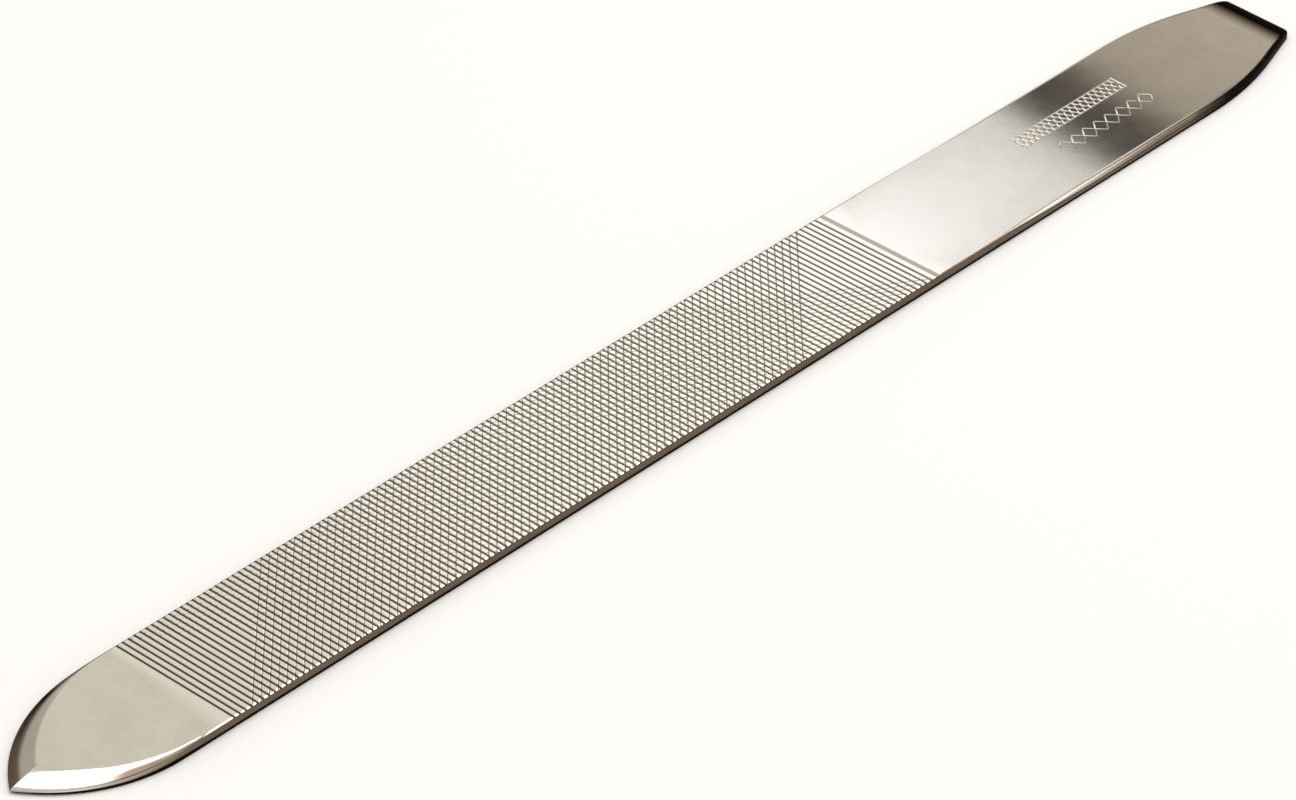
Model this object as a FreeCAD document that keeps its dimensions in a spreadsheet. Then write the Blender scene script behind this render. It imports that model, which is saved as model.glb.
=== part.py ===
# One-piece steel nail file: a flat strip with a pointed, bevelled tip, a cut zone of cross grooves,
# a plain handle, and a trapezoid end ground to a bevel.
# Frame: X runs along the strip with +X toward the handle end, +Z is up out of the cut face, and the
# origin is under the middle of the strip, on the face that it lies on. Millimetres and degrees.
import FreeCAD, Part
import math
import os
import Sketcher
from FreeCAD import Vector

# alias, value and meaning of each driving dimension
DIMENSIONS = (
    ("length", 150.0, "overall length"),
    ("width", 13.2, "width over the straight sides"),
    ("thickness", 1.1, "thickness of the strip"),
    ("tip_length", 12.0, "length of the ogive that narrows to the point"),
    ("tip_setback", 2.6, "from the point back to where both tip bevels meet the cut face"),
    ("tip_heading", 38.5, "angle in plan from the centre line to a tip bevel's inner edge"),
    ("tip_slope", 18.0, "slope of a tip bevel"),
    ("end_width", 7.2, "length of the square edge at the handle end"),
    ("end_angle", 18.5, "angle in plan of the sides that narrow to the square edge"),
    ("shoulder_radius", 30.0, "radius that joins the straight sides to the narrowing ones"),
    ("end_bevel", 1.8, "width of the bevel along the square edge"),
    ("end_drop", 0.5, "how far the bevel along the square edge falls"),
    ("side_bevel", 0.5, "width of the bevel along a narrowing side"),
    ("side_slope", 42.0, "slope of the bevel along a narrowing side"),
    ("edge_break", 0.15, "chamfer along the long edges of the cut face"),
    ("cut_start", 17.21, "from the point to the middle of the first groove, on the centre line"),
    ("groove_pitch", 0.6238, "spacing of the grooves along the strip"),
    ("groove_count", 131, "number of V grooves"),
    ("groove_lean", 1.6, "how far a groove leans off square to the strip, in plan"),
    ("groove_width", 0.26, "width of a groove at the face"),
    ("groove_depth", 0.15, "depth of a groove"),
    ("stop_gap", 0.53, "land between the last groove and the stop groove"),
    ("stop_width", 0.52, "width of the shallow flat stop groove that ends the cut zone"),
    ("stop_depth", 0.06, "depth of the stop groove"),
    ("cutter_rise", 0.3, "how far a cutter stands clear of the metal that it removes"),
)
SAME_PLACE = 1e-6

doc = FreeCAD.newDocument("nail_file")


def make_sheet():
    """Puts the driving dimensions in a spreadsheet, one row each."""
    table = doc.addObject("Spreadsheet::Sheet", "sheet")
    for row, (alias, value, meaning) in enumerate(DIMENSIONS, start=1):
        table.set(f"A{row}", meaning)
        table.set(f"B{row}", str(value))
        table.setAlias(f"B{row}", alias)
    doc.recompute()
    return table


sheet = make_sheet()


def value_of(expression):
    """The number that an expression on the sheet has now."""
    return float(sheet.evalExpression(expression.replace("sheet.", "")))


def origin_feature(body, role):
    """One of the body's own origin planes or axes, by its role."""
    return next(item for item in body.Origin.OriginFeatures if item.Role == role)


def add_sketch(body, name, role):
    """A sketch on one of the body's origin planes."""
    sketch = body.newObject("Sketcher::SketchObject", name)
    sketch.AttachmentSupport = [(origin_feature(body, role), "")]
    sketch.MapMode = "FlatFace"
    return sketch


def end_at(sketch, edge, point):
    """1 or 2 for the end of the edge that lies at the point, or None. An arc always runs anticlockwise."""
    ends = [end for end in (1, 2) if (sketch.getPoint(edge, end) - point).Length < SAME_PLACE]
    return ends[0] if ends else None


def close_loop(sketch, points, arcs, smooth=()):
    """Draws a closed outline through the points.

    arcs gives a middle point to each edge that is an arc, and smooth lists the edges that run
    on into the next one with no corner."""
    count = len(points)
    for index, start in enumerate(points):
        stop = points[(index + 1) % count]
        edge = Part.Arc(start, arcs[index], stop) if index in arcs else Part.LineSegment(start, stop)
        sketch.addGeometry(edge, False)
    for index in range(count):
        following = (index + 1) % count
        meeting = points[following]
        end = end_at(sketch, index, meeting)
        start = end_at(sketch, following, meeting)
        meets = "Tangent" if index in smooth else "Coincident"
        sketch.addConstraint(Sketcher.Constraint(meets, index, end, following, start))


def bind(sketch, constraint, name, expression):
    """Adds a named dimension and ties it to the sheet."""
    index = sketch.addConstraint(constraint)
    sketch.renameConstraint(index, name)
    sketch.setExpression(f"Constraints.{name}", expression)


def bind_place(sketch, point, name, along=None, across=None):
    """Holds the vertex at a point to the distances from the sketch's origin that the expressions give."""
    edge = next(index for index in range(sketch.GeometryCount) if end_at(sketch, index, point))
    end = end_at(sketch, edge, point)
    for kind, expression, distance in (("DistanceX", along, point.x), ("DistanceY", across, point.y)):
        if expression is not None:
            bind(sketch, Sketcher.Constraint(kind, -1, 1, edge, end, distance), name + kind, expression)


def polygon(sketch, corners):
    """Draws a closed outline of straight edges. Each corner is a pair of expressions on the sheet."""
    points = [Vector(value_of(along), value_of(across), 0) for along, across in corners]
    close_loop(sketch, points, {})
    for number, (point, (along, across)) in enumerate(zip(points, corners)):
        bind_place(sketch, point, f"corner{number}", along, across)


def make_half_outline(body):
    """The plan of the half with positive Y: end edge, narrowing side, shoulder, side, ogive, centre line."""
    half_length = value_of("sheet.length / 2")
    half_width = value_of("sheet.width / 2")
    half_end = value_of("sheet.end_width / 2")
    angle = math.radians(value_of("sheet.end_angle"))
    shoulder_radius = value_of("sheet.shoulder_radius")
    tip_length = value_of("sheet.tip_length")
    ogive_radius = (half_width ** 2 + tip_length ** 2) / (2 * half_width)
    side_start = tip_length - half_length

    def shoulder_point(turned):
        """On the shoulder, where the outline has turned this far from the straight side."""
        return Vector(
            shoulder_start + shoulder_radius * math.sin(turned),
            half_width - shoulder_radius * (1 - math.cos(turned)),
            0,
        )

    def ogive_point(x):
        return Vector(x, half_width - ogive_radius + math.sqrt(ogive_radius ** 2 - (x - side_start) ** 2), 0)

    fall = half_width - half_end - shoulder_radius * (1 - math.cos(angle))
    shoulder_start = half_length - fall / math.tan(angle) - shoulder_radius * math.sin(angle)
    end_middle = Vector(half_length, 0, 0)
    end_corner = Vector(half_length, half_end, 0)
    side_end = shoulder_point(0)
    ogive_end = ogive_point(side_start)
    tip = ogive_point(-half_length)
    outline = [end_middle, end_corner, shoulder_point(angle), side_end, ogive_end, tip]
    end_edge, narrowing_side, shoulder, side, ogive, centre_line = range(len(outline))
    middles = {shoulder: shoulder_point(angle / 2), ogive: ogive_point(side_start - tip_length / 2)}

    sketch = add_sketch(body, "half_outline", "XY_Plane")
    close_loop(sketch, outline, middles, smooth=(narrowing_side, shoulder, side))
    sketch.addConstraint(Sketcher.Constraint("Vertical", end_edge))
    sketch.addConstraint(Sketcher.Constraint("Horizontal", side))
    sketch.addConstraint(Sketcher.Constraint("PointOnObject", centre_line, 1, -1))
    sketch.addConstraint(Sketcher.Constraint("PointOnObject", centre_line, 2, -1))
    bind_place(sketch, end_middle, "end_middle", along="sheet.length / 2")
    bind_place(sketch, end_corner, "end_corner", across="sheet.end_width / 2")
    bind_place(sketch, ogive_end, "ogive_end", "sheet.tip_length - sheet.length / 2", "sheet.width / 2")
    bind_place(sketch, tip, "tip", along="-sheet.length / 2")
    bind(sketch, Sketcher.Constraint("Radius", shoulder, shoulder_radius), "shoulder", "sheet.shoulder_radius")
    slant = Sketcher.Constraint("Angle", narrowing_side, math.pi - angle)
    bind(sketch, slant, "slant", "180 - sheet.end_angle")
    return sketch


def add_pad(body, sketch, name, thickness):
    """Pads the outline up to the cut face."""
    pad = body.newObject("PartDesign::Pad", name)
    pad.Profile = sketch
    pad.setExpression("Length", thickness)
    doc.recompute()
    return pad


def add_pocket(body, sketch, name, through=True):
    """Cuts right through both ways, or, on a sloping plane, all that stands above it."""
    before = body.Shape.Volume
    pocket = body.newObject("PartDesign::Pocket", name)
    pocket.Profile = sketch
    if through:
        pocket.Type = "ThroughAll"
        pocket.SideType = "Symmetric"
    else:
        pocket.Reversed = True
        pocket.setExpression("Length", "2 * sheet.thickness")
    doc.recompute()
    if not body.Shape.Volume < before:
        raise RuntimeError(f"{name} removes nothing")
    return pocket


def grind_slope(body, name, place, heading, slope, reach):
    """Grinds away the metal above a plane that leaves the cut face at place and falls off to its left."""
    sketch = add_sketch(body, name + "_plane", "XY_Plane")
    along, across = place
    sketch.setExpression(
        "AttachmentOffset",
        f"create(<<placement>>; create(<<vector>>; {along}; {across}; sheet.thickness);"
        f" create(<<rotation>>; {heading}; 0; -{slope}))",
    )
    behind, ahead = reach
    breadth = "sheet.width"
    polygon(sketch, [(f"-{behind}", "0"), (ahead, "0"), (ahead, breadth), (f"-{behind}", breadth)])
    return add_pocket(body, sketch, name, through=False)


def grind_corner(body, name, role, edge, run, drop):
    """Grinds a chamfer off the cut face's edge: edge is its distance from the origin, run by drop the chamfer."""
    sketch = add_sketch(body, name + "_profile", role)
    clear = f"{edge} + sheet.cutter_rise"
    top = "sheet.thickness + sheet.cutter_rise"
    chamfer = [(f"{edge} - {run}", "sheet.thickness"), (edge, f"sheet.thickness - {drop}")]
    polygon(sketch, chamfer + [(clear, f"sheet.thickness - {drop}"), (clear, top), (f"{edge} - {run}", top)])
    return add_pocket(body, sketch, name)


def cut_groove(body, name, middle, half_width, depth, flat):
    """Cuts one groove across the strip, leaning a little off square: a V, or a flat-bottomed one."""
    sketch = add_sketch(body, name + "_profile", "XZ_Plane")
    sketch.setExpression(
        "AttachmentOffset",
        f"create(<<placement>>; create(<<vector>>; {middle}; 0; 0);"
        " create(<<rotation>>; 0; sheet.groove_lean; 0))",
    )
    floor = f"sheet.thickness - {depth}"
    top = "sheet.thickness + sheet.cutter_rise"
    left = f"-{half_width}"
    right = half_width
    bottom = [(left, floor), (right, floor)] if flat else [(left, "sheet.thickness"), ("0", floor)]
    mouth = [] if flat else [(right, "sheet.thickness")]
    polygon(sketch, bottom + mouth + [(right, top), (left, top)])
    return add_pocket(body, sketch, name)


def make_nail_file():
    """The whole file: half of it is padded and ground, mirrored, and then the grooves are cut."""
    body = doc.addObject("PartDesign::Body", "nail_file")
    half = [add_pad(body, make_half_outline(body), "half_strip", "sheet.thickness")]
    half.append(
        grind_slope(
            body,
            "tip_bevel",
            ("sheet.tip_setback - sheet.length / 2", "0"),
            "sheet.tip_heading",
            "sheet.tip_slope",
            ("2 * sheet.tip_setback", "2 * sheet.tip_length"),
        )
    )
    half.append(
        grind_slope(
            body,
            "side_bevel",
            (
                "sheet.length / 2 - sheet.side_bevel * sin(sheet.end_angle * 1 deg)",
                "sheet.end_width / 2 - sheet.side_bevel * cos(sheet.end_angle * 1 deg)",
            ),
            "-sheet.end_angle",
            "sheet.side_slope",
            ("sheet.shoulder_radius", "sheet.width"),
        )
    )
    half.append(
        grind_corner(body, "end_bevel", "XZ_Plane", "sheet.length / 2", "sheet.end_bevel", "sheet.end_drop")
    )
    half.append(
        grind_corner(body, "edge_break", "YZ_Plane", "sheet.width / 2", "sheet.edge_break", "sheet.edge_break")
    )

    whole = body.newObject("PartDesign::Mirrored", "whole_strip")
    whole.Originals = half
    whole.MirrorPlane = (origin_feature(body, "XZ_Plane"), [""])
    body.Tip = whole
    doc.recompute()

    first_groove = "sheet.cut_start - sheet.length / 2"
    last_groove = f"{first_groove} + (sheet.groove_count - 1) * sheet.groove_pitch"
    stop_middle = f"{last_groove} + sheet.groove_width / 2 + sheet.stop_gap + sheet.stop_width / 2"
    cut_groove(body, "stop_groove", stop_middle, "sheet.stop_width / 2", "sheet.stop_depth", flat=True)
    groove = cut_groove(body, "groove", first_groove, "sheet.groove_width / 2", "sheet.groove_depth", flat=False)
    row = body.newObject("PartDesign::LinearPattern", "groove_row")
    row.Originals = [groove]
    row.Direction = (origin_feature(body, "X_Axis"), [""])
    row.setExpression("Length", "(sheet.groove_count - 1) * sheet.groove_pitch")
    row.setExpression("Occurrences", "sheet.groove_count")
    body.Tip = row
    doc.recompute()
    return body


def write_parts(bodies):
    """Stops if anything in the document failed, and then writes each sub-part's solid."""
    for item in doc.Objects:
        if "Invalid" in item.State or "Error" in item.State:
            raise RuntimeError(f"{item.Name} is {item.State}")
    os.makedirs("parts", exist_ok=True)
    for body in bodies:
        if body.Shape.isNull() or not body.Shape.isValid():
            raise RuntimeError(f"{body.Label} has no valid shape")
        body.Shape.exportStep(f"parts/{body.Label}.step")
        print(body.Label, len(body.Shape.Solids), "solid", len(body.Shape.Faces), "faces", body.Shape.Volume, "mm3")


write_parts([make_nail_file()])
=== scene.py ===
# The looks of a one-piece steel nail file: one closed mesh that stands for the CAD strip, with a cut
# zone of crossing grooves, ground bevels, softened handle edges and satin steel. Metres throughout.
import math
import bmesh
import bpy
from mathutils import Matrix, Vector


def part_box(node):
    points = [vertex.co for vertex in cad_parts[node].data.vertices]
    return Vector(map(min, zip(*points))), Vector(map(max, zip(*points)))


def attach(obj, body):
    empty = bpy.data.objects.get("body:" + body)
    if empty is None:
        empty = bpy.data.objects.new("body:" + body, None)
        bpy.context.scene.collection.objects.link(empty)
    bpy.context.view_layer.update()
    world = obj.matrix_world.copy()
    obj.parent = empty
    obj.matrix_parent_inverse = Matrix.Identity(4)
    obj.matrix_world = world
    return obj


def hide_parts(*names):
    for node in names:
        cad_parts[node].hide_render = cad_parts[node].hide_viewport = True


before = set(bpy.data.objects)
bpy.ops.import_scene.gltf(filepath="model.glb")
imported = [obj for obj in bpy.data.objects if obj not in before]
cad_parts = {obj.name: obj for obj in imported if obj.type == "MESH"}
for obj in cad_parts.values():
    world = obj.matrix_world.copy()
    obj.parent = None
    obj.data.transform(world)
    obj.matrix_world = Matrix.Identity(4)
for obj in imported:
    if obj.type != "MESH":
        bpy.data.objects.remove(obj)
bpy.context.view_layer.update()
LOW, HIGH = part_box("nail_file")

MM = 0.001
TIP_X = LOW.x
END_X = HIGH.x
FACE_Z = HIGH.z
HALF_WIDTH = HIGH.y

# the ogive tip: its outline, and the inner edge of the bevel ground round it
TIP_LENGTH = 12.0 * MM
TIP_SETBACK = 2.95 * MM           # from the point back to where both bevels meet the cut face
NEAR_BEVEL_LENGTH = 15.0 * MM     # from the point to where a bevel has run out
FAR_BEVEL_LENGTH = 16.0 * MM
TIP_SLOPE = math.radians(18.0)
TIP_SOFTNESS = 0.18               # how much the bevel's inner edge is rolled over
TIP_STEPS = 48

# the handle end
END_HALF_WIDTH = 3.6 * MM
END_ANGLE = math.radians(18.5)
SHOULDER_RADIUS = 30.0 * MM
CORNER_RADIUS = 0.6 * MM
END_BEVEL = 3.6 * MM
NARROW_BEVEL = 0.6 * MM
END_DROP = 0.5 * MM

# the edges
NEAR = -1
FAR = 1
EDGE_BREAK = {NEAR: (0.09 * MM, 0.09 * MM), FAR: (0.13 * MM, 0.05 * MM)}   # width and drop
HANDLE_ROUND = 0.42 * MM          # rounding along the handle
ROUND_START = 28.0 * MM
ROUND_END = 48.0 * MM
FOOT_BREAK = 0.1 * MM             # rounding of the edge that the strip lies on
TIP_FOOT = 0.36 * MM              # the same at the point
LIP = 0.02 * MM                   # the painted dark band's top, below the rim
ROUND_SHARE = 0.29                # how far a rounding's middle stands in from its square corner
PROFILE = (0.0, 0.04, 0.1, 0.18, 0.28, 0.38, 0.46, 0.54, 0.64, 0.76, 0.88, 1.0)

# painted shade and painted dark reflections on the edges: how dark they make the steel's colour by its place
# along the strip, in millimetres: 0 is bright, 1 is black
WAIST_PAINTED_SHADE = ((-74, 0.0), (-70, 0.4), (-64, 0.7), (-61, 0.84), (28, 0.84), (46, 0.76), (58, 0.84), (63, 1.0))
LIP_PAINTED_SHADE = ((-73, 0.0), (-69, 0.3), (-63, 0.6), (-61, 0.84), (28, 0.86), (44, 0.98), (63, 1.0))
RIM_PAINTED_SHADE = {
    NEAR: (
        (-72.5, 0.0), (-70, 0.3), (-68, 0.84), (-62.5, 0.86), (-60.5, 0.2), (23, 0.2),
        (24.8, 0.76), (34, 0.6), (39, 0.1), (48, 0.5), (60, 0.9), (63, 1.0),
    ),
    FAR: ((-75, 0.85), (-66, 0.97), (-60, 0.6), (28, 0.6), (46, 0.0), (60, 0.3), (70, 0.8), (74, 1.0)),
}
# the part of a bevel, from its rim inward, that is painted as dark as its rim
REACH = {
    NEAR: (
        (-70, 0.3), (-68, 0.5), (-62, 0.6), (-60, 0.3), (24, 0.3), (25, 1.4),
        (36, 1.4), (42, 0.7), (60, 0.7), (73, 0.6), (74.9, 0.54),
    ),
    FAR: ((-74, 0.35), (-66, 0.5), (-60, 0.7), (40, 0.5), (73, 0.4), (74.9, 0.54)),
}
# how dark the rest of the bevel is painted
BODY_PAINTED_SHADE = {
    NEAR: ((-75, 0.0), (75, 0.0)),
    FAR: ((-75, 0.36), (-68, 0.36), (-62, 0.2), (-59, 0.0), (75, 0.0)),
}
# the height of the painted black shadow line above the foot, in millimetres
FOOT_SHADOW_LINE = ((-74, 0.04), (-70, 0.2), (-65, 0.38), (-60, 0.18), (60, 0.15), (75, 0.3))
FOOT_FADE = 0.08 * MM
LIP_SHADE_LINE = 0.2 * MM               # height of the painted dark line of shade under the rim

# how close two places are when they count as one, and when a place counts as on a border
SAME_PLACE = 1e-7
ON_BORDER = 1e-6


class Cut:
    """Parallel grooves. The first one runs through start, at that angle from the strip's length."""

    def __init__(self, angle, start, period, count, width, depth, wall=None, shade=1.0):
        self.angle = math.radians(angle)
        self.start = Vector((*start, 0))
        self.period = period
        self.count = count
        self.half_width = width / 2
        self.wall = wall or width / 2
        self.depth = depth
        self.shade = shade

    def lines(self):
        """The planes along every groove's edges and the foot of its walls, as a point and a normal."""
        normal = Vector((math.sin(self.angle), -math.cos(self.angle), 0))
        reaches = (self.half_width, self.half_width - self.wall)
        offsets = {side * reach for side in (-1, 1) for reach in reaches}
        for number in range(self.count):
            for offset in sorted(offsets):
                yield self.start + (number * self.period + offset) * normal, normal


CROSS_ANGLE = 91.6
CROSS_PERIOD = 0.6236 * MM
CROSS_COUNT = 131
FIRST_GROOVE = TIP_X + 17.21 * MM
FIRST_RISING = TIP_X + 25.99 * MM
FIRST_FALLING = TIP_X + 27.77 * MM
STOP_MIDDLE = TIP_X + 99.12 * MM
STOP_WIDTH = 0.52 * MM
FILE_CUTS = {
    "cross": Cut(
        angle=CROSS_ANGLE, start=(FIRST_GROOVE, 0), period=CROSS_PERIOD, count=CROSS_COUNT,
        width=0.3 * MM, depth=0.15 * MM,
    ),
    "up": Cut(
        angle=44.5, start=(FIRST_RISING, 0), period=0.6514 * MM, count=69,
        width=0.19 * MM, depth=0.03 * MM, shade=0.46,
    ),
    "down": Cut(
        angle=-34.0, start=(FIRST_FALLING, 0), period=-0.5523 * MM, count=63,
        width=0.17 * MM, depth=0.015 * MM, shade=0.36,
    ),
    "stop": Cut(
        angle=CROSS_ANGLE, start=(STOP_MIDDLE, 0), period=1.0 * MM, count=1,
        width=STOP_WIDTH, depth=0.06 * MM, wall=0.04 * MM, shade=0.35,
    ),
}
CUT_MARGIN = 0.6 * MM             # plain land kept before the first groove and after the last one
CUT_FROM = FIRST_GROOVE - CUT_MARGIN
CUT_TO = STOP_MIDDLE + CUT_MARGIN + STOP_WIDTH / 2


def smooth_step(low, high, value):
    part = min(max((value - low) / (high - low), 0), 1)
    return part * part * (3 - 2 * part)


def along(knots, x):
    """The value at x between knots, each a place in millimetres and a value."""
    place = x / MM
    for (low, first), (high, second) in zip(knots, knots[1:]):
        if place < high:
            return first + (second - first) * max(place - low, 0) / (high - low)
    return knots[-1][1]


class Station:
    """One place on the outline, with the section of the strip's edge there."""

    def __init__(self, side, rim, inner, drop, crown, foot=FOOT_BREAK, softness=0.0):
        self.side = side
        self.rim = Vector(rim)
        self.inner = Vector(inner)
        self.drop = drop
        self.crown = crown
        self.foot = foot
        self.softness = softness

    def fall(self, part):
        """How far the bevel has dropped at that part of its width, measured from its rim."""
        flat = 1 - part
        bowed = 1 - math.sqrt(1 - flat * flat)
        soft = self.softness
        rolled = (math.hypot(flat, soft) - soft) / (math.hypot(1, soft) - soft)
        return self.drop * ((1 - self.crown) * rolled + self.crown * bowed)

    def section(self):
        """Points from under the strip, up its side and over the bevel to the face, each with its painted
        shade.
        """
        outward = (self.rim - self.inner).normalized()
        under = self.rim - outward * self.foot
        corner = self.rim - outward * self.foot * ROUND_SHARE
        top = FACE_Z - self.drop
        x = self.rim.x
        rim_painted_shade = along(RIM_PAINTED_SHADE[self.side], x)
        reach = along(REACH[self.side], x)
        body_painted_shade = along(BODY_PAINTED_SHADE[self.side], x)
        wall = top - LIP - self.foot
        # painted shade: black at the foot and in a shadow line above it, then the side's and the bevel's
        # painted dark reflections
        yield under, 0.0, 1.0
        yield corner, self.foot * ROUND_SHARE, 1.0
        yield self.rim, self.foot, 1.0
        line = min(along(FOOT_SHADOW_LINE, x) * MM, wall * 0.4)
        yield self.rim, self.foot + line, 1.0
        yield self.rim, self.foot + line + min(FOOT_FADE, wall * 0.1), along(WAIST_PAINTED_SHADE, x)
        yield self.rim, top - LIP - min(LIP_SHADE_LINE, wall * 0.3), along(WAIST_PAINTED_SHADE, x)
        yield self.rim, top - LIP, along(LIP_PAINTED_SHADE, x)
        for part in PROFILE:
            within = smooth_step(reach * 0.7, reach * 1.3, part)
            painted_shade = rim_painted_shade + (body_painted_shade - rim_painted_shade) * within
            yield self.rim.lerp(self.inner, part), FACE_Z - self.fall(part), painted_shade * (part < 1)


def arc_height(x, x_end, length, height):
    """The height at x of an arc that starts on the centre line and is level at x_end."""
    radius = (height ** 2 + length ** 2) / (2 * height)
    ahead = min(x - x_end, 0)
    return max(height - radius + math.sqrt(radius * radius - ahead * ahead), 0)


def tip_stations(side, bevel_length):
    """From the point along the ogive, with a bevel whose inner edge is an ogive too."""
    inner_end = TIP_X + bevel_length
    inner_length = bevel_length - TIP_SETBACK
    inset, least_drop = EDGE_BREAK[side]
    inner_height = HALF_WIDTH - inset
    inner_radius = (inner_height ** 2 + inner_length ** 2) / (2 * inner_height)
    inner_centre = Vector((inner_end, inner_height - inner_radius))
    for step in range(TIP_STEPS + 1):
        part = (step / TIP_STEPS) ** 1.5
        x = TIP_X + bevel_length * part
        rim = Vector((x, arc_height(x, TIP_X + TIP_LENGTH, TIP_LENGTH, HALF_WIDTH)))
        inner_x = TIP_X + TIP_SETBACK + inner_length * part
        inner = Vector((inner_x, arc_height(inner_x, inner_end, inner_length, inner_height)))
        wide = (rim - inner_centre).length - inner_radius
        drop = max(wide * math.tan(TIP_SLOPE), least_drop)
        fade = smooth_step(0.7, 1, part)
        foot = FOOT_BREAK + (TIP_FOOT - FOOT_BREAK) * (1 - smooth_step(0, 0.5, part))
        yield Station(side, rim, inner, drop, 0.3 * (1 - fade), foot, TIP_SOFTNESS * (1 - fade))


def side_stations(side):
    """Along the straight side: the cut zone in one step, then the handle with its rounding coming in."""
    width, drop = EDGE_BREAK[side]
    for x in (CUT_FROM, CUT_TO):
        yield Station(side, (x, HALF_WIDTH), (x, HALF_WIDTH - width), drop, 0)
    step = 2.0 * MM
    x = CUT_TO + step
    while x < end_outline(0, 0, 0)[0].x - step / 2:
        rounding = smooth_step(ROUND_START, ROUND_END, x)
        inset = width + (HANDLE_ROUND - width) * rounding
        fall = drop + (HANDLE_ROUND - drop) * rounding
        yield Station(side, (x, HALF_WIDTH), (x, HALF_WIDTH - inset), fall, rounding)
        x += step


def end_outline(side_inset, narrow_inset, end_inset):
    """The plan from the shoulder to the middle of the square edge, each part moved in by its inset."""
    side_y = HALF_WIDTH - side_inset
    end_x = END_X - end_inset
    slant = math.tan(END_ANGLE)
    end_y = END_HALF_WIDTH - narrow_inset / math.cos(END_ANGLE) + end_inset * slant
    fall = SHOULDER_RADIUS * (1 - math.cos(END_ANGLE))
    shoulder_end = end_x - (side_y - fall - end_y) / slant
    shoulder_start = shoulder_end - SHOULDER_RADIUS * math.sin(END_ANGLE)
    points = []
    for step in range(17):
        turned = END_ANGLE * step / 16
        across = side_y - SHOULDER_RADIUS * (1 - math.cos(turned))
        points.append(Vector((shoulder_start + SHOULDER_RADIUS * math.sin(turned), across)))
    sweep = math.pi / 2 - END_ANGLE
    reach = CORNER_RADIUS * math.tan(sweep / 2)
    corner_start = Vector((end_x, end_y)) + reach * Vector((-math.cos(END_ANGLE), math.sin(END_ANGLE)))
    for step in range(1, 6):
        points.append(points[16].lerp(corner_start, step / 6))
    centre = Vector((end_x - CORNER_RADIUS, end_y - reach))
    for step in range(9):
        facing = sweep * (1 - step / 8)
        points.append(centre + CORNER_RADIUS * Vector((math.cos(facing), math.sin(facing))))
    last = points[-1]
    for step in range(1, 7):
        points.append(last.lerp(Vector((end_x, 0)), step / 6))
    return points


def end_stations(side):
    """Round the shoulder, along the narrowing side, round the corner and along half of the square edge."""
    rims = end_outline(0, 0, 0)
    inners = end_outline(HANDLE_ROUND, NARROW_BEVEL, END_BEVEL)
    for rim, inner in zip(rims, inners):
        reach = smooth_step(rims[0].x, END_X, rim.x)
        yield Station(side, rim, inner, HANDLE_ROUND + (END_DROP - HANDLE_ROUND) * reach, 1.0)


def half_outline(side, bevel_length):
    """The stations of one side, from the point to the middle of the square end."""
    return [*tip_stations(side, bevel_length), *side_stations(side), *end_stations(side)]


def build_strip():
    """The closed strip and, as separate lists, the faces that the file cut and the ornament go on."""
    strip = bmesh.new()
    # each corner keeps its painted shade, which darkens the steel's colour
    painted_shade = strip.verts.layers.float.new("painted_shade")
    near = half_outline(NEAR, NEAR_BEVEL_LENGTH)
    far = half_outline(FAR, FAR_BEVEL_LENGTH)
    stations = near + far[-2:0:-1]
    rings = []
    for station in stations:
        ring = []
        for place, z, value in station.section():
            vertex = strip.verts.new((place.x, place.y * station.side, z))
            vertex[painted_shade] = value
            ring.append(vertex)
        rings.append(ring)
    cut_zone = []
    for index, here in enumerate(rings):
        after = rings[(index + 1) % len(rings)]
        next_station = stations[(index + 1) % len(rings)]
        rim = len(here) - len(PROFILE)
        for level in range(rim):
            strip.faces.new((here[level], after[level], after[level + 1], here[level + 1]))
        if crosses_cut(stations[index], next_station):
            cut_zone.append(strip.faces.new(after[rim:] + here[:rim - 1:-1]))
        else:
            for level in range(rim, len(here) - 1):
                strip.faces.new((here[level], after[level], after[level + 1], here[level + 1]))
    strip.faces.new([ring[0] for ring in reversed(rings)])
    cut_face, handle_face = close_face(strip, [ring[-1] for ring in rings])
    return strip, [*cut_zone, cut_face], [handle_face]


def crosses_cut(first, second):
    low, high = sorted((first.rim.x, second.rim.x))
    return low < (CUT_FROM + CUT_TO) / 2 < high


def close_face(strip, loop):
    """Closes the top with three faces and returns the one for the file cut and the handle's."""
    tip = [vertex for vertex in loop if vertex.co.x < CUT_FROM + SAME_PLACE]
    handle = [vertex for vertex in loop if vertex.co.x > CUT_TO - SAME_PLACE]
    start = [vertex for vertex in tip if vertex.co.x > CUT_FROM - SAME_PLACE]
    stop = [vertex for vertex in handle if vertex.co.x < CUT_TO + SAME_PLACE]
    start.sort(key=lambda vertex: vertex.co.y)
    stop.sort(key=lambda vertex: vertex.co.y)
    far_tip = [vertex for vertex in tip if vertex.co.y > SAME_PLACE]
    near_tip = [vertex for vertex in tip if vertex.co.y < SAME_PLACE]
    strip.faces.new(far_tip + near_tip)
    handle_face = strip.faces.new(handle)
    return strip.faces.new((start[0], stop[0], stop[1], start[1])), handle_face


def score(strip, faces, lines):
    """Splits the faces along each line, given as a point and a normal. Returns the faces that result."""
    pieces = [*{vertex for face in faces for vertex in face.verts}]
    pieces += {edge for face in faces for edge in face.edges}
    pieces += faces
    for point, normal in lines:
        split = bmesh.ops.bisect_plane(strip, geom=pieces, dist=SAME_PLACE, plane_co=point, plane_no=normal)
        pieces = split["geom"]
    return [item for item in pieces if isinstance(item, bmesh.types.BMFace)]


def mark(faces, mask, allowed=lambda place: True):
    """Sets the mask to 1 at the corners of the faces, where it is allowed."""
    for face in faces:
        for vertex in face.verts:
            if allowed(vertex.co):
                vertex[mask] = 1.0


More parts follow.
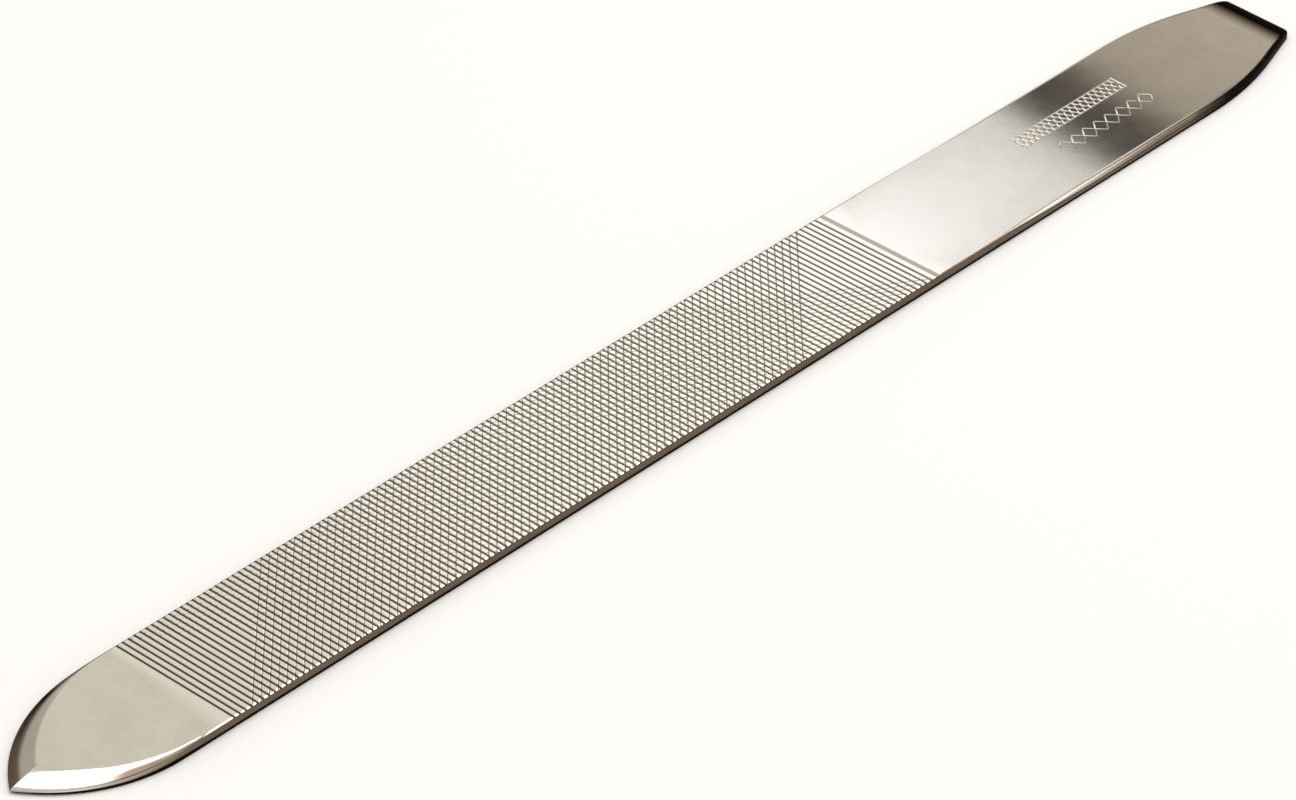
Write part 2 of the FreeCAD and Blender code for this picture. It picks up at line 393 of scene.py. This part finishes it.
class Band:
    """A rectangle of the handle's face, with the ornament that is etched in it."""

    def __init__(self, start, floor, length, height, cuts):
        self.start = start
        self.floor = floor
        self.length = length
        self.height = height
        self.cuts = cuts

    def holds(self, place):
        """Says whether a place is inside, and not on the border."""
        along_it = ON_BORDER < place.x - self.start < self.length - ON_BORDER
        return along_it and ON_BORDER < place.y - self.floor < self.height - ON_BORDER

    def borders(self):
        """Upright planes along its four sides, as a point and a normal."""
        for x in (self.start, self.start + self.length):
            yield Vector((x, 0, 0)), Vector((1, 0, 0))
        for y in (self.floor, self.floor + self.height):
            yield Vector((0, y, 0)), Vector((0, 1, 0))


ETCH_WIDTH = 0.2 * MM
ETCH_DEPTH = 0.035 * MM
ETCH_SHADE = 0.1
LATTICE_ANGLE = 62.0
LATTICE_PERIOD = 0.62 * MM
LOZENGE_ANGLE = 50.0
LOZENGE_LENGTH = 1.5 * MM


def etched_pair(start, middle, angle, period, count, width, depth):
    """Lines that lean both ways and cross on the middle line."""
    place = (start, middle)
    return {
        "rising": Cut(angle, place, period, count, width, depth, shade=ETCH_SHADE),
        "falling": Cut(-angle, place, -period, count, width, depth, shade=ETCH_SHADE),
    }


def lattice_band(start, floor, length, height):
    """A close lattice in a frame."""
    inset = ETCH_WIDTH / 2
    count = round(length / LATTICE_PERIOD * math.sin(math.radians(LATTICE_ANGLE))) + 2
    middle = floor + height / 2
    cuts = etched_pair(start, middle, LATTICE_ANGLE, LATTICE_PERIOD, count, ETCH_WIDTH, ETCH_DEPTH)
    line = {"width": ETCH_WIDTH, "depth": ETCH_DEPTH, "shade": ETCH_SHADE}
    cuts["end"] = Cut(90, (start + inset, 0), length - ETCH_WIDTH, 2, **line)
    cuts["long"] = Cut(180, (start, floor + inset), height - ETCH_WIDTH, 2, **line)
    return Band(start, floor, length, height, cuts)


def lozenge_band(start, floor, count, height):
    """A row of lozenges, point to point."""
    period = LOZENGE_LENGTH * math.sin(math.radians(LOZENGE_ANGLE))
    middle = floor + height / 2
    cuts = etched_pair(start, middle, LOZENGE_ANGLE, period, count + 1, 0.75 * ETCH_WIDTH, 0.5 * ETCH_DEPTH)
    return Band(start, floor, LOZENGE_LENGTH * count, height, cuts)


BANDS = {
    "upper": lattice_band(TIP_X + 119.0 * MM, 0.65 * MM, 13.6 * MM, 1.9 * MM),
    "lower": lozenge_band(TIP_X + 121.0 * MM, -2.6 * MM, 8, 1.75 * MM),
}
CUT_GROUPS = {"filed": FILE_CUTS, **{name: band.cuts for name, band in BANDS.items()}}


def file_cut(strip, cut_zone, mask):
    """Splits the cut zone along its grooves."""
    lines = [line for cut in FILE_CUTS.values() for line in cut.lines()]
    mark(score(strip, cut_zone, lines), mask)


def etch(strip, faces, masks):
    """Splits the handle's face along the ornament's lines, inside its bands only."""
    for name, band in BANDS.items():
        faces = score(strip, faces, band.borders())
        inside = [face for face in faces if band.holds(face.calc_center_median())]
        faces = [face for face in faces if face not in inside]
        lines = [line for cut in band.cuts.values() for line in cut.lines()]
        mark(score(strip, inside, lines), masks[name], band.holds)


class Wire:
    """A number's socket in a node tree. Arithmetic on it adds Math nodes."""

    def __init__(self, graph, socket):
        self.graph = graph
        self.socket = socket

    def __add__(self, other):
        return self.graph.maths("ADD", self, other)

    def __radd__(self, other):
        return self.graph.maths("ADD", other, self)

    def __sub__(self, other):
        return self.graph.maths("SUBTRACT", self, other)

    def __rsub__(self, other):
        return self.graph.maths("SUBTRACT", other, self)

    def __mul__(self, other):
        return self.graph.maths("MULTIPLY", self, other)

    def __rmul__(self, other):
        return self.graph.maths("MULTIPLY", other, self)

    def __truediv__(self, other):
        return self.graph.maths("DIVIDE", self, other)

    def __rtruediv__(self, other):
        return self.graph.maths("DIVIDE", other, self)


class Graph:
    """Adds and links nodes in a tree."""

    def __init__(self, tree):
        self.tree = tree

    def node(self, kind, settings=None, sockets=None, stops=None):
        """A node of that type: its settings, then a ramp's stops, then its sockets by name or number."""
        made = self.tree.nodes.new(kind)
        for name, value in (settings or {}).items():
            setattr(made, name, value)
        for number, (position, colour) in enumerate(stops or ()):
            elements = made.color_ramp.elements
            element = elements[number] if number < len(elements) else elements.new(position)
            element.position = position
            element.color = (*colour, 1)
        for name, value in (sockets or {}).items():
            if isinstance(value, Wire):
                value = value.socket
            if isinstance(value, bpy.types.NodeSocket):
                self.tree.links.new(value, made.inputs[name])
            else:
                made.inputs[name].default_value = value
        return made

    def maths(self, operation, *values):
        made = self.node("ShaderNodeMath", {"operation": operation}, dict(enumerate(values)))
        return Wire(self, made.outputs[0])

    def clamped(self, value):
        made = self.node("ShaderNodeClamp", None, {"Value": value})
        return Wire(self, made.outputs[0])

    def ramp(self, value, low, high):
        """0 below low, 1 above high and smooth between them."""
        sockets = {"Value": value, "From Min": low, "From Max": high}
        made = self.node("ShaderNodeMapRange", {"interpolation_type": "SMOOTHSTEP"}, sockets)
        return Wire(self, made.outputs[0])

    def mixed(self, amount, first, second):
        """A colour between two colours."""
        made = self.node("ShaderNodeMix", {"data_type": "RGBA"}, {"Factor": amount, 6: first, 7: second})
        return made.outputs[2]

    def attribute(self, name):
        made = self.node("ShaderNodeAttribute", {"attribute_name": name})
        return Wire(self, made.outputs["Fac"])

    def noise(self, place, scale, detail=2.0, roughness=0.5):
        sockets = {"Vector": place, "Scale": scale, "Detail": detail, "Roughness": roughness}
        made = self.node("ShaderNodeTexNoise", None, sockets)
        return Wire(self, made.outputs[0])

    def stretched(self, place, scales):
        """The place scaled along each axis."""
        made = self.node("ShaderNodeMapping", None, {"Vector": place, "Scale": scales})
        return made.outputs[0]


def named_input(tree, name, kind="NodeSocketFloat"):
    tree.interface.new_socket(name, in_out="INPUT", socket_type=kind)


def tree_inputs(graph):
    """The tree's inputs by name."""
    given = graph.node("NodeGroupInput")
    return {socket.name: Wire(graph, socket) for socket in given.outputs if socket.name}


CUT_INPUTS = ("Angle", "Start X", "Start Y", "Period", "Count", "Half Width", "Wall", "Depth", "Shade")


def cut_values(cut):
    layout = (cut.angle, cut.start.x, cut.start.y, cut.period, cut.count)
    return (*layout, cut.half_width, cut.wall, cut.depth, cut.shade)


def groove_tree():
    """The depth and the shade of one cut's grooves at a point."""
    tree = bpy.data.node_groups.new("groove_depth", "GeometryNodeTree")
    for name in ("Along", "Across", *CUT_INPUTS):
        named_input(tree, name)
    for name in ("Depth Here", "Shade Here"):
        tree.interface.new_socket(name, in_out="OUTPUT", socket_type="NodeSocketFloat")
    graph = Graph(tree)
    value = tree_inputs(graph)
    sine = graph.maths("SINE", value["Angle"])
    cosine = graph.maths("COSINE", value["Angle"])
    reach = (value["Along"] - value["Start X"]) * sine - (value["Across"] - value["Start Y"]) * cosine
    number = graph.maths("ROUND", reach / value["Period"])
    number = graph.maths("MINIMUM", graph.maths("MAXIMUM", number, 0.0), value["Count"] - 1)
    aside = graph.maths("ABSOLUTE", reach - number * value["Period"])
    share = graph.clamped((value["Half Width"] - aside) / value["Wall"])
    sockets = {"Depth Here": share * value["Depth"], "Shade Here": share * value["Shade"]}
    graph.node("NodeGroupOutput", None, sockets)
    return tree


def teeth_tree():
    """Sinks the scored faces: at each point the deepest groove wins. The darkest shade stays as "groove"."""
    tree = bpy.data.node_groups.new("file_teeth", "GeometryNodeTree")
    named_input(tree, "Strip", "NodeSocketGeometry")
    tree.interface.new_socket("Strip", in_out="OUTPUT", socket_type="NodeSocketGeometry")
    for mask, cuts in CUT_GROUPS.items():
        for cut in cuts:
            for name in CUT_INPUTS:
                named_input(tree, f"{mask} {cut} {name}")
    named_input(tree, "Face Height")
    named_input(tree, "Steel", "NodeSocketMaterial")
    graph = Graph(tree)
    value = tree_inputs(graph)
    place = graph.node("GeometryNodeInputPosition")
    apart = graph.node("ShaderNodeSeparateXYZ", None, {0: place.outputs[0]})
    x, y, z = (Wire(graph, socket) for socket in apart.outputs)
    groove = groove_tree()
    depth = 0.0
    shade = 0.0
    for mask, cuts in CUT_GROUPS.items():
        masked = graph.node("GeometryNodeInputNamedAttribute", {"data_type": "FLOAT"}, {"Name": mask})
        masked = Wire(graph, masked.outputs[0])
        for cut in cuts:
            sockets = {name: value[f"{mask} {cut} {name}"] for name in CUT_INPUTS}
            sockets |= {"Along": x, "Across": y}
            made = graph.node("GeometryNodeGroup", {"node_tree": groove}, sockets)
            depth = graph.maths("MAXIMUM", depth, masked * Wire(graph, made.outputs[0]))
            shade = graph.maths("MAXIMUM", shade, masked * Wire(graph, made.outputs[1]))
    sunk = graph.maths("MINIMUM", z, value["Face Height"] - depth)
    lower = graph.node("ShaderNodeCombineXYZ", None, {0: x, 1: y, 2: sunk})
    sockets = {"Geometry": value["Strip"], "Name": "groove", "Value": shade}
    kept = graph.node("GeometryNodeStoreNamedAttribute", {"data_type": "FLOAT", "domain": "POINT"}, sockets)
    sockets = {"Geometry": kept.outputs[0], "Position": lower.outputs[0]}
    moved = graph.node("GeometryNodeSetPosition", None, sockets)
    real = graph.node("GeometryNodeRealizeInstances", None, {"Geometry": moved.outputs[0]})
    sockets = {"Geometry": real.outputs[0], "Material": value["Steel"]}
    dressed = graph.node("GeometryNodeSetMaterial", None, sockets)
    graph.node("NodeGroupOutput", None, {"Strip": dressed.outputs[0]})
    return tree


def teeth_values(steel):
    """The values of the tree's inputs, by name."""
    values = {"Face Height": FACE_Z, "Steel": steel}
    for mask, cuts in CUT_GROUPS.items():
        for name, cut in cuts.items():
            values |= {f"{mask} {name} {label}": value for label, value in zip(CUT_INPUTS, cut_values(cut))}
    return values


def with_tree(blank, name, tree, values):
    """A plain mesh object of what the tree makes of the blank mesh."""
    holder = bpy.data.objects.new(name + "_blank", blank)
    bpy.context.scene.collection.objects.link(holder)
    modifier = holder.modifiers.new("tree", "NODES")
    modifier.node_group = tree
    for item in tree.interface.items_tree:
        if item.in_out == "INPUT" and item.name in values:
            modifier[item.identifier] = values[item.name]
    depsgraph = bpy.context.evaluated_depsgraph_get()
    made = bpy.data.meshes.new_from_object(holder.evaluated_get(depsgraph))
    bpy.data.objects.remove(holder)
    made.name = name
    piece = bpy.data.objects.new(name, made)
    bpy.context.scene.collection.objects.link(piece)
    return piece


# the steel's colours: two ends of its mottle, the lands of the teeth, two ends of the painted shade in the
# grooves, and the painted shade and dark reflections that the edges turn to
DULL_STEEL = (0.66, 0.61, 0.53, 1)
BRIGHT_STEEL = (0.97, 0.92, 0.82, 1)
LAND_STEEL = (0.95, 0.91, 0.83, 1)
DARK_GROOVE_SHADE = (0.12, 0.095, 0.064, 1)
PALE_GROOVE_SHADE = (0.235, 0.21, 0.165, 1)
PAINTED_SHADE_BROWN = (0.19, 0.145, 0.105, 1)
PAINTED_SHADE_BLACK = (0.012, 0.007, 0.006, 1)
BROWN_SHADE_LEVEL = 0.8                  # the painted shade at which an edge is all brown, and past which it blackens
GRAIN_SCALE = (4800.0, 500.0, 4800.0)


def satin_steel():
    """Stainless steel with a fine satin grain, dull and with painted shade in the grooves. Painted shade and
    dark reflections on the edges darken its colour.
    """
    steel = bpy.data.materials.new("satin_steel")
    steel.use_nodes = True
    steel.node_tree.nodes.clear()
    graph = Graph(steel.node_tree)
    place = graph.node("ShaderNodeTexCoord").outputs["Object"]
    groove = graph.attribute("groove")
    filed = graph.attribute("filed")
    painted_shade = graph.attribute("painted_shade")

    mottle = graph.noise(place, 330.0, 4.0, 0.6)
    grain = graph.noise(graph.stretched(place, GRAIN_SCALE), 1.0, 3.0, 0.65)
    waves = graph.noise(place, 170.0, 2.0)
    x = Wire(graph, graph.node("ShaderNodeSeparateXYZ", None, {0: place}).outputs[0])
    dull_and_shaded = graph.ramp(groove, 0.12, 0.5)

    plain = graph.mixed(0.6 * mottle + 0.4 * grain, DULL_STEEL, BRIGHT_STEEL)
    land = graph.mixed(filed, plain, LAND_STEEL)
    # painted shade in the grooves, darker towards the point
    painted_groove_shade = graph.mixed(graph.ramp(x, -0.06, -0.01), DARK_GROOVE_SHADE, PALE_GROOVE_SHADE)
    cut = graph.mixed(dull_and_shaded, land, painted_groove_shade)
    # painted shade and painted dark reflections on the edges turn the steel brown, then black
    shaded = painted_shade + 0.12 * painted_shade * (mottle - 0.5)
    painted_brown = graph.mixed(graph.ramp(shaded, 0.0, BROWN_SHADE_LEVEL), cut, PAINTED_SHADE_BROWN)
    colour = graph.mixed(graph.ramp(shaded, BROWN_SHADE_LEVEL, 1.0), painted_brown, PAINTED_SHADE_BLACK)
    roughness = 0.07 + 0.025 * mottle + 0.3 * dull_and_shaded + 0.25 * painted_shade
    height = 0.12 * grain + 0.9 * waves
    bump = graph.node("ShaderNodeBump", None, {"Strength": 1.0, "Distance": 4e-6, "Height": height})
    sockets = {"Base Color": colour, "Metallic": 1.0, "Roughness": roughness, "Normal": bump.outputs[0]}
    sockets["Specular Tint"] = (0.5, 0.5, 0.5, 1)
    shader = graph.node("ShaderNodeBsdfPrincipled", None, sockets)
    graph.node("ShaderNodeOutputMaterial", None, {"Surface": shader.outputs[0]})
    return steel


SHARP_ANGLE = math.radians(24)
SOFT_LAND = 0.5                   # a face whose corners are filed more than this is part of the teeth
LEVEL = 1e-8                      # how far below the flat face a corner may lie and still be on it


def shade(piece):
    """Smooth bevels, flat teeth, and a clean break where a bevel meets the flat face."""
    mesh = piece.data
    mesh.polygons.foreach_set("use_smooth", [True] * len(mesh.polygons))
    mesh.set_sharp_from_angle(angle=SHARP_ANGLE)
    working = bmesh.new()
    working.from_mesh(mesh)
    filed = working.verts.layers.float["filed"]
    for face in working.faces:
        face.smooth = any(vertex[filed] < SOFT_LAND for vertex in face.verts)
        if all(vertex.co.z > FACE_Z - LEVEL for vertex in face.verts):
            for edge in face.edges:
                edge.smooth = False
    bmesh.ops.triangulate(working, faces=[face for face in working.faces if len(face.verts) > 4])
    working.to_mesh(mesh)
    working.free()


def make_file():
    """The whole file as one mesh."""
    strip, cut_zone, handle_faces = build_strip()
    masks = {name: strip.verts.layers.float.new(name) for name in CUT_GROUPS}
    file_cut(strip, cut_zone, masks["filed"])
    etch(strip, handle_faces, masks)
    mesh = bpy.data.meshes.new("nail_file_blank")
    strip.to_mesh(mesh)
    strip.free()
    piece = with_tree(mesh, "nail_file_steel", teeth_tree(), teeth_values(satin_steel()))
    shade(piece)
    return piece


# where the camera stands: azimuth turns from -Y toward +X
VIEW_AZIMUTH = math.radians(-46.14)
VIEW_ELEVATION = math.radians(36.52)
VIEW_DISTANCE = 534.1 * MM
VIEW_SHIFT = (-3.05 * MM, -1.98 * MM)
SENSOR = 36.0                     # the sensor's width and the lens, in millimetres
LENS = 177.66667
CLIP_START = 0.01


def outward(azimuth, elevation):
    level = math.cos(elevation)
    return Vector((math.sin(azimuth) * level, -math.cos(azimuth) * level, math.sin(elevation)))


def make_camera():
    turn = (-outward(VIEW_AZIMUTH, VIEW_ELEVATION)).to_track_quat("-Z", "Y")
    camera = bpy.data.objects.new("camera", bpy.data.cameras.new("camera"))
    camera.data.sensor_width = SENSOR
    camera.data.lens = LENS
    camera.data.clip_start = CLIP_START
    camera.rotation_mode = "QUATERNION"
    camera.rotation_quaternion = turn
    aside = turn @ Vector((*VIEW_SHIFT, 0))
    camera.location = outward(VIEW_AZIMUTH, VIEW_ELEVATION) * VIEW_DISTANCE + aside
    bpy.context.scene.collection.objects.link(camera)
    bpy.context.scene.camera = camera


def flat_sheet(name, corners, material):
    mesh = bpy.data.meshes.new(name)
    mesh.from_pydata(corners, [], [(0, 1, 2, 3)])
    mesh.materials.append(material)
    sheet = bpy.data.objects.new(name, mesh)
    bpy.context.scene.collection.objects.link(sheet)
    return sheet


FLOOR_REACH = 3.0
FLOOR_COLOUR = (0.97, 0.965, 0.95, 1)


def make_floor():
    paint = bpy.data.materials.new("pale_floor")
    paint.use_nodes = True
    shader = paint.node_tree.nodes["Principled BSDF"]
    shader.inputs["Base Color"].default_value = FLOOR_COLOUR
    shader.inputs["Roughness"].default_value = 0.9
    turns = ((-1, -1), (1, -1), (1, 1), (-1, 1))
    flat_sheet("floor", [(x * FLOOR_REACH, y * FLOOR_REACH, 0) for x, y in turns], paint)


# the light card that the flat face reflects. Its glow is given at places along the strip, in
# millimetres, so the card and not the steel makes the face's bright and dark stretches.
CARD_DISTANCE = 150.0 * MM
CARD_LOW = -110.0 * MM
CARD_HIGH = 190.0 * MM
CARD_HALF_HEIGHT = 55.0 * MM
CARD_SPREAD = 1.281               # the card's length for each unit of the strip's
CARD_GLOW = (
    (-57, (0.73, 0.71, 0.65)),
    (-44, (0.80, 0.78, 0.73)),
    (-32, (0.98, 0.97, 0.92)),
    (-10, (1.24, 1.23, 1.18)),
    (8, (1.24, 1.24, 1.21)),
    (22, (1.14, 1.15, 1.19)),
    (26, (1.07, 1.09, 1.15)),
    (34, (0.97, 0.99, 1.04)),
    (46.3, (0.88, 0.90, 0.91)),
    (48.4, (0.035, 0.03, 0.025)),
    (54.6, (0.035, 0.03, 0.025)),
    (58.5, (0.45, 0.41, 0.36)),
    (78, (0.55, 0.51, 0.45)),
    (95, (0.2, 0.17, 0.14)),
)


def make_card():
    """A card above and behind the strip. Only its reflection shows. Its glow is even across the strip."""
    glow = bpy.data.materials.new("card_glow")
    glow.use_nodes = True
    glow.node_tree.nodes.clear()
    graph = Graph(glow.node_tree)
    place = graph.node("ShaderNodeTexCoord").outputs["Object"]
    apart = graph.node("ShaderNodeSeparateXYZ", None, {0: place})
    x, _, z = (Wire(graph, socket) for socket in apart.outputs)
    away = outward(VIEW_AZIMUTH, VIEW_ELEVATION) * Vector((-1, -1, 1))
    middle = away * CARD_DISTANCE
    span = CARD_HIGH - CARD_LOW
    reach = (x - z * (away.x / away.z) - CARD_LOW) / span
    stops = [((place * MM * CARD_SPREAD - CARD_LOW) / span, colour) for place, colour in CARD_GLOW]
    colours = graph.node("ShaderNodeValToRGB", None, {"Fac": reach}, stops)
    shader = graph.node("ShaderNodeEmission", None, {"Color": colours.outputs[0], "Strength": 1.0})
    graph.node("ShaderNodeOutputMaterial", None, {"Surface": shader.outputs[0]})
    low = Vector((CARD_LOW, 0, 0))
    high = Vector((CARD_HIGH, 0, 0))
    height = away.cross(high).normalized() * CARD_HALF_HEIGHT
    corners = [middle + low - height, middle + high - height, middle + high + height, middle + low + height]
    card = flat_sheet("light_card", corners, glow)
    card.visible_camera = False
    card.visible_diffuse = False
    card.visible_shadow = False


def area_light(name, place, size, glow):
    """A square softbox that faces the strip. glow is how bright its face is."""
    light = bpy.data.lights.new(name, "AREA")
    light.size = size
    light.energy = glow * size * size * math.pi
    holder = bpy.data.objects.new(name, light)
    holder.location = place
    holder.rotation_mode = "QUATERNION"
    holder.rotation_quaternion = Vector(place).to_track_quat("Z", "Y")
    holder.visible_camera = False
    bpy.context.scene.collection.objects.link(holder)


WORLD_COLOUR = (1, 0.97, 0.92, 1)
WORLD_GLOW = 0.68


def make_lights():
    world = bpy.data.worlds.new("studio")
    world.use_nodes = True
    world.node_tree.nodes["Background"].inputs["Color"].default_value = WORLD_COLOUR
    world.node_tree.nodes["Background"].inputs["Strength"].default_value = WORLD_GLOW
    bpy.context.scene.world = world
    area_light("overhead_softbox", (0.1, 0.02, 0.6), 0.46, 2.2)
    area_light("side_softbox", (0.35, -0.36, 0.33), 0.2, 2.5)


bpy.context.scene.view_settings.view_transform = "Standard"
make_camera()
make_floor()
make_card()
make_lights()
nail_file = make_file()
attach(nail_file, "root")
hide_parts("nail_file")
